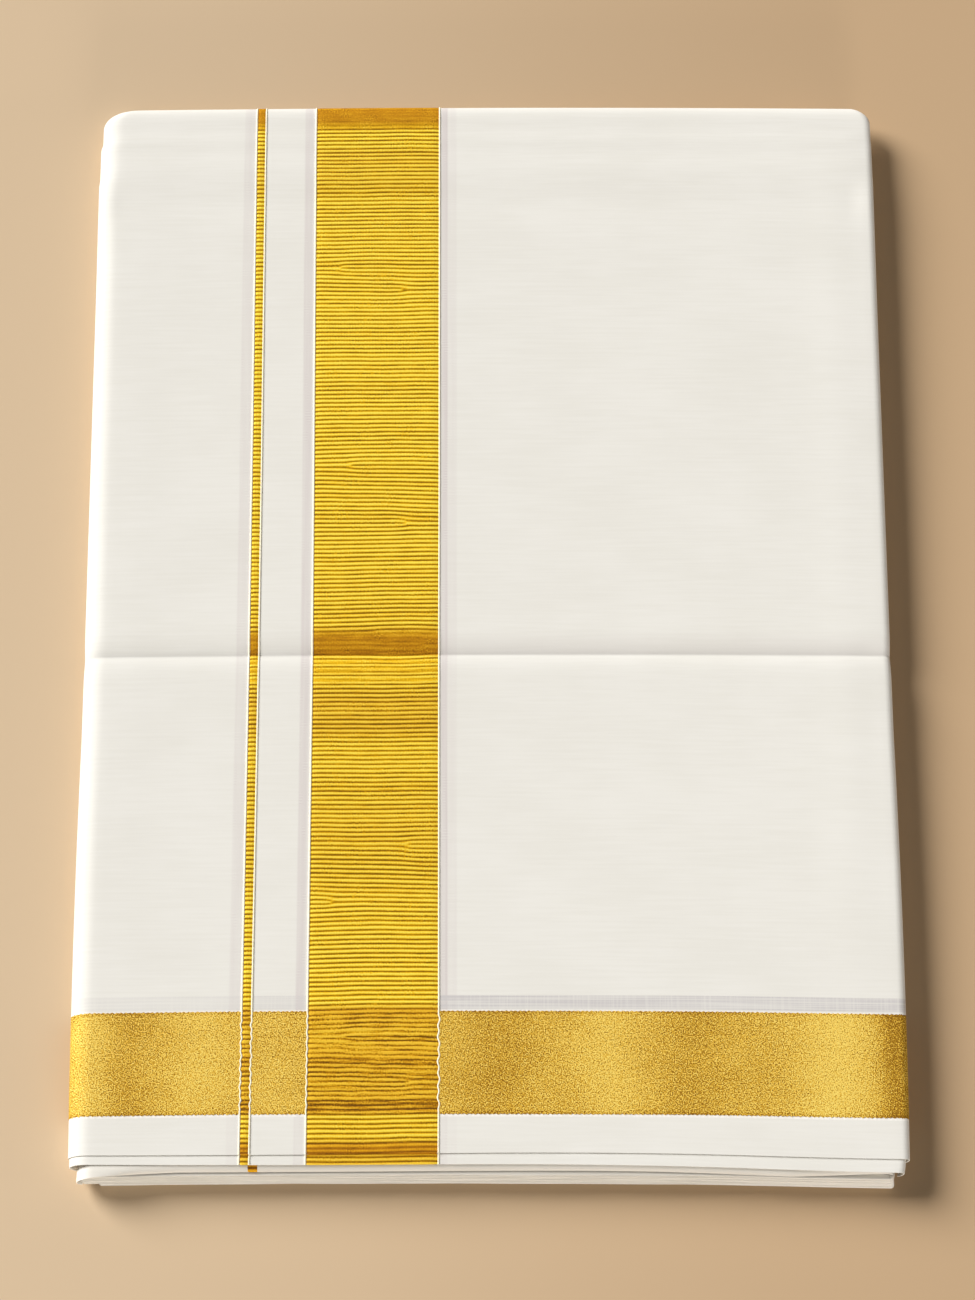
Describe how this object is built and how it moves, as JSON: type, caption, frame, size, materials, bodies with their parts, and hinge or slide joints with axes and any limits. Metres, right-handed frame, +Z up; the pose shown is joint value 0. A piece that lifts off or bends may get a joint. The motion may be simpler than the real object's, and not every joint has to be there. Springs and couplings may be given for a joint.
{
  "type": "folded dhoti cloth",
  "caption": "Cotton dhoti cloth folded into a flat rectangular packet with a metallic-thread border, stripe and end band woven across its upper face.",
  "frame": {"origin": "centre of the packet's footprint, on the surface it rests on", "axes": "+Z up, +Y along the packet from the open near edge to the folded far edge, +X across it towards the plain side"},
  "size_m": [0.3174, 0.453, 0.0133],
  "materials": {
    "cotton": "matt bleached cotton, fine plain weave",
    "zari": "metallic gold thread woven in weft ribs, bright sheen",
    "cotton_layers": "matt cotton, the edges of many thin plies"
  },
  "bodies": {
    "root": {"top_cloth": "cotton", "hem_middle": "cotton", "border_zari": "zari", "stripe_zari": "zari", "end_band_left": "zari", "end_band_middle": "zari", "end_band_right": "zari", "under_cloth": "cotton", "under_border_zari": "zari", "under_stripe_zari": "zari", "folded_layers": "cotton_layers"}
  },
  "joints": []
}
